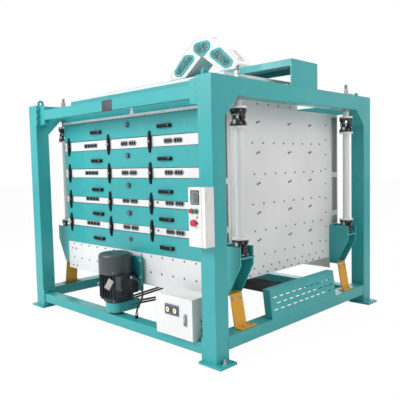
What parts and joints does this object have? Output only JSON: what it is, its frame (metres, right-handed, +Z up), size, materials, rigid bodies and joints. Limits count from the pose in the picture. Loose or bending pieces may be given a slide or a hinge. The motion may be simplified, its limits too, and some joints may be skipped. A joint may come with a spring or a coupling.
{
  "type": "rice grader",
  "caption": "Plane rotary rice grader: a box of sieve drawers hung on jointed rods in a welded frame, swung by a motor-driven weight, fed through a forked duct on a gantry.",
  "frame": {"origin": "on the floor in the middle of the four posts", "axes": "+Z is up, -Y is the side of the drawers' fronts, +X is to the right of a person who faces them"},
  "size_m": [2.4, 2.205, 2.358],
  "materials": {
    "black_paint": "satin paint",
    "black_plastic": "matte",
    "cast": "cast",
    "clear": "clear",
    "green_plastic": "gloss",
    "grey_plastic": "matte",
    "motor_paint": "satin paint",
    "red_plastic": "gloss",
    "rubber": "matte",
    "screen_steel": "perforated sheet",
    "steel": "ground steel",
    "teal_paint": "semi-gloss powder coat",
    "teal_rubber": "matte",
    "white_paint": "semi-gloss powder coat",
    "yellow_paint": "semi-gloss paint",
    "zinc": "zinc plated"
  },
  "bodies": {
    "frame": {"side_frame_left": "teal_paint", "side_frame_right": "teal_paint", "front_top_beam": "teal_paint", "rear_top_beam": "teal_paint", "front_bottom_beam": "teal_paint", "rear_bottom_beam": "teal_paint", "frame_bolts": "teal_paint", "hanger_studs": "zinc", "hanger_adapters": "white_paint", "upper_yokes": "black_paint", "feed_gantry": "teal_paint", "feed_distributor": "white_paint", "window_gaskets": "teal_rubber", "window_panes": "clear", "step_plate": "teal_paint", "control_box": "white_paint", "cabinet_shell": "white_paint", "gear_plate": "zinc", "cable_glands": "black_plastic", "motor_cable": "black_plastic"},
    "stop_button": {"stop_button": "red_plastic"},
    "start_button": {"start_button": "green_plastic"},
    "emergency_stop": {"emergency_stop": "red_plastic"},
    "breaker_lever": {"breaker_lever": "black_plastic"},
    "door": {"cabinet_door": "white_paint", "panel_meters": "black_plastic"},
    "lock": {"door_lock": "zinc"},
    "sieve": {"sieve_box": "white_paint", "hanger_brackets": "teal_paint", "lower_yokes": "black_paint", "lower_crosses": "steel", "transport_brackets": "yellow_paint", "feed_chest": "white_paint", "front_trim": "teal_paint", "sieve_drawers": "teal_paint", "sieve_screens": "screen_steel", "drawer_handles": "black_plastic", "sight_plates": "grey_plastic", "press_bars": "black_paint", "apron_panel": "white_paint", "discharge_hopper": "white_paint", "motor_plate": "teal_paint", "motor_frame": "motor_paint", "fan_cowl": "motor_paint", "terminal_box": "motor_paint", "belt_guard": "teal_paint", "drive_belts": "rubber", "drive_frame": "black_paint", "bearing_housings": "cast"},
    "rotor": {"motor_rotor": "steel"},
    "flywheel": {"flywheel": "cast"},
    "lower_cross_front_right": {"lower_cross_front_right": "steel"},
    "upper_cross_front_right": {"upper_cross_front_right": "steel"},
    "hanger_rod_front_right": {"hanger_rod_front_right": "white_paint"},
    "upper_cross_front_left": {"upper_cross_front_left": "steel"},
    "hanger_rod_front_left": {"hanger_rod_front_left": "white_paint"},
    "upper_cross_rear_right": {"upper_cross_rear_right": "steel"},
    "hanger_rod_rear_right": {"hanger_rod_rear_right": "white_paint"},
    "upper_cross_rear_left": {"upper_cross_rear_left": "steel"},
    "hanger_rod_rear_left": {"hanger_rod_rear_left": "white_paint"}
  },
  "joints": [
    {"name": "upper_front_right_x", "type": "hinge", "parent": "frame", "child": "upper_cross_front_right", "pos_m": [1.085, -0.717, 1.597], "axis": [1, 0, 0], "range_deg": [-1.2, 1.2], "deforming": ["motor_cable"]},
    {"name": "upper_front_right_y", "type": "hinge", "parent": "upper_cross_front_right", "child": "hanger_rod_front_right", "pos_m": [1.085, -0.717, 1.597], "axis": [0, 1, 0], "range_deg": [-1.2, 1.2], "deforming": ["motor_cable"]},
    {"name": "upper_front_left_x", "type": "hinge", "parent": "frame", "child": "upper_cross_front_left", "pos_m": [-1.085, -0.717, 1.597], "axis": [1, 0, 0], "range_deg": [-1.2, 1.2]},
    {"name": "upper_front_left_y", "type": "hinge", "parent": "upper_cross_front_left", "child": "hanger_rod_front_left", "pos_m": [-1.085, -0.717, 1.597], "axis": [0, 1, 0], "range_deg": [-1.2, 1.2]},
    {"name": "upper_rear_right_x", "type": "hinge", "parent": "frame", "child": "upper_cross_rear_right", "pos_m": [1.085, 0.717, 1.597], "axis": [1, 0, 0], "range_deg": [-1.2, 1.2]},
    {"name": "upper_rear_right_y", "type": "hinge", "parent": "upper_cross_rear_right", "child": "hanger_rod_rear_right", "pos_m": [1.085, 0.717, 1.597], "axis": [0, 1, 0], "range_deg": [-1.2, 1.2]},
    {"name": "upper_rear_left_x", "type": "hinge", "parent": "frame", "child": "upper_cross_rear_left", "pos_m": [-1.085, 0.717, 1.597], "axis": [1, 0, 0], "range_deg": [-1.2, 1.2]},
    {"name": "upper_rear_left_y", "type": "hinge", "parent": "upper_cross_rear_left", "child": "hanger_rod_rear_left", "pos_m": [-1.085, 0.717, 1.597], "axis": [0, 1, 0], "range_deg": [-1.2, 1.2]},
    {"name": "lower_front_right_y", "type": "hinge", "parent": "hanger_rod_front_right", "child": "lower_cross_front_right", "pos_m": [1.085, -0.717, 0.722], "axis": [0, 1, 0], "range_deg": [-1.2, 1.2]},
    {"name": "lower_front_right_x", "type": "hinge", "parent": "lower_cross_front_right", "child": "sieve", "pos_m": [1.085, -0.717, 0.722], "axis": [1, 0, 0], "range_deg": [-1.2, 1.2]},
    {"name": "flywheel_spin", "type": "hinge", "parent": "sieve", "child": "flywheel", "pos_m": [0, 0, 0.3], "axis": [0, 0, 1], "continuous": true},
    {"name": "motor_spin", "type": "hinge", "parent": "sieve", "child": "rotor", "pos_m": [0, -0.966, 0.36], "axis": [0, 0, 1], "continuous": true},
    {"name": "stop_press", "type": "slide", "parent": "frame", "child": "stop_button", "axis": [0, 1, 0], "range_m": [0, 0.005], "stiffness_N_per_m": 400},
    {"name": "start_press", "type": "slide", "parent": "frame", "child": "start_button", "axis": [0, 1, 0], "range_m": [0, 0.005], "stiffness_N_per_m": 400},
    {"name": "emergency_press", "type": "slide", "parent": "frame", "child": "emergency_stop", "axis": [0, 1, 0], "range_m": [0, 0.006], "stiffness_N_per_m": 800},
    {"name": "breaker_switch", "type": "hinge", "parent": "frame", "child": "breaker_lever", "pos_m": [1.062, -1.0963, 1.088], "axis": [1, 0, 0], "range_deg": [-30, 30]},
    {"name": "door_hinge", "type": "hinge", "parent": "frame", "child": "door", "pos_m": [0.595, -1.055, 0.271], "axis": [0, 0, -1], "range_deg": [0, 110]},
    {"name": "lock_turn", "type": "hinge", "parent": "door", "child": "lock", "pos_m": [0.896, -1.0575, 0.265], "axis": [0, 1, 0], "range_deg": [0, 90]}
  ],
  "couplings": [
    {"joint": "upper_front_left_x", "follows": "upper_front_right_x", "ratio": 1},
    {"joint": "upper_front_left_y", "follows": "upper_front_right_y", "ratio": 1},
    {"joint": "upper_rear_right_x", "follows": "upper_front_right_x", "ratio": 1},
    {"joint": "upper_rear_right_y", "follows": "upper_front_right_y", "ratio": 1},
    {"joint": "upper_rear_left_x", "follows": "upper_front_right_x", "ratio": 1},
    {"joint": "upper_rear_left_y", "follows": "upper_front_right_y", "ratio": 1},
    {"joint": "lower_front_right_y", "follows": "upper_front_right_y", "ratio": -1},
    {"joint": "lower_front_right_x", "follows": "upper_front_right_x", "ratio": -1},
    {"joint": "motor_spin", "follows": "flywheel_spin", "ratio": 4.532}
  ]
}
